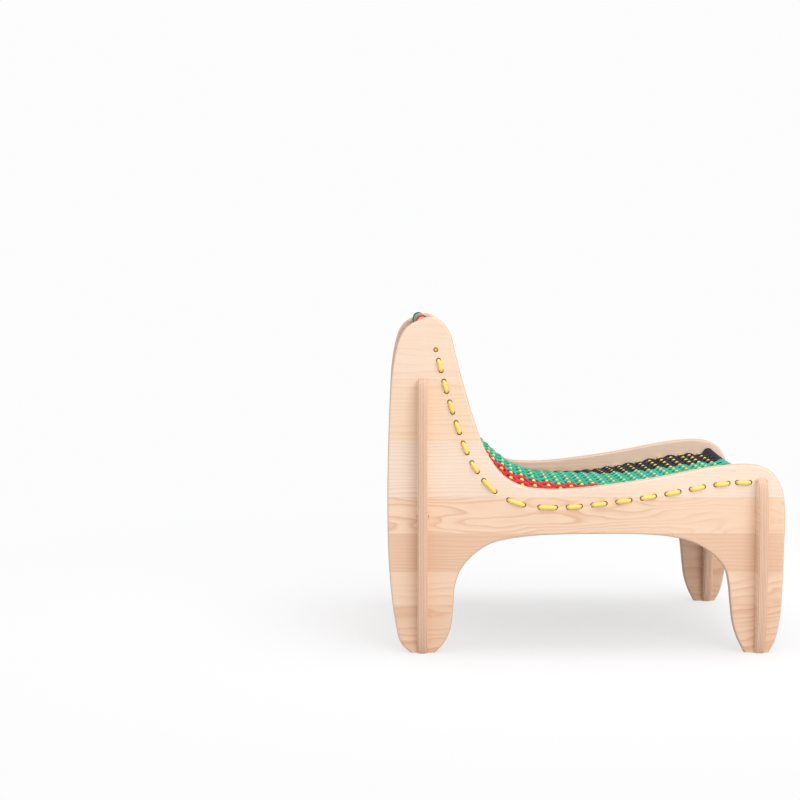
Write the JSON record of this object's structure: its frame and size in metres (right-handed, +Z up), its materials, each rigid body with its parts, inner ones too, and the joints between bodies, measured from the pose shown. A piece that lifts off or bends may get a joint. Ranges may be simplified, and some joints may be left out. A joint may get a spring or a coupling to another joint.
{
  "type": "lounge chair",
  "caption": "Low lounge chair of slotted plywood panels with arched legs, a seat and back woven from bundles of coloured cord, and a cord laced along each side.",
  "frame": {"origin": "on the floor, at the middle of the chair's width and depth", "axes": "+Z up, -Y the way the sitter faces, +X to the sitter's left"},
  "size_m": [0.6454, 0.7384, 0.628],
  "materials": {
    "plywood": "pale veneer under clear satin lacquer",
    "yellow_cord": "smooth braided cord",
    "red_cord": "braided cord",
    "green_cord": "braided cord",
    "black_cord": "braided cord"
  },
  "bodies": {
    "root": {"right_side_panel": "plywood", "left_side_panel": "plywood", "front_cross_panel": "plywood", "rear_cross_panel": "plywood", "lacing_cord": "yellow_cord", "red_bundle_1": "red_cord", "red_bundle_2": "red_cord", "red_bundle_3": "red_cord", "red_bundle_4": "red_cord", "red_bundle_5": "red_cord", "red_bundle_6": "red_cord", "red_bundle_7": "red_cord", "red_bundle_8": "red_cord", "green_bundle_1": "green_cord", "green_bundle_2": "green_cord", "green_bundle_3": "green_cord", "green_bundle_4": "green_cord", "green_bundle_5": "green_cord", "green_bundle_6": "green_cord", "green_bundle_7": "green_cord", "green_bundle_8": "green_cord", "green_bundle_9": "green_cord", "green_bundle_10": "green_cord", "green_bundle_11": "green_cord", "black_bundle_1": "black_cord", "black_bundle_2": "black_cord", "black_bundle_3": "black_cord", "black_bundle_4": "black_cord", "black_bundle_5": "black_cord", "black_bundle_6": "black_cord", "black_bundle_7": "black_cord", "black_bundle_8": "black_cord"}
  },
  "joints": []
}
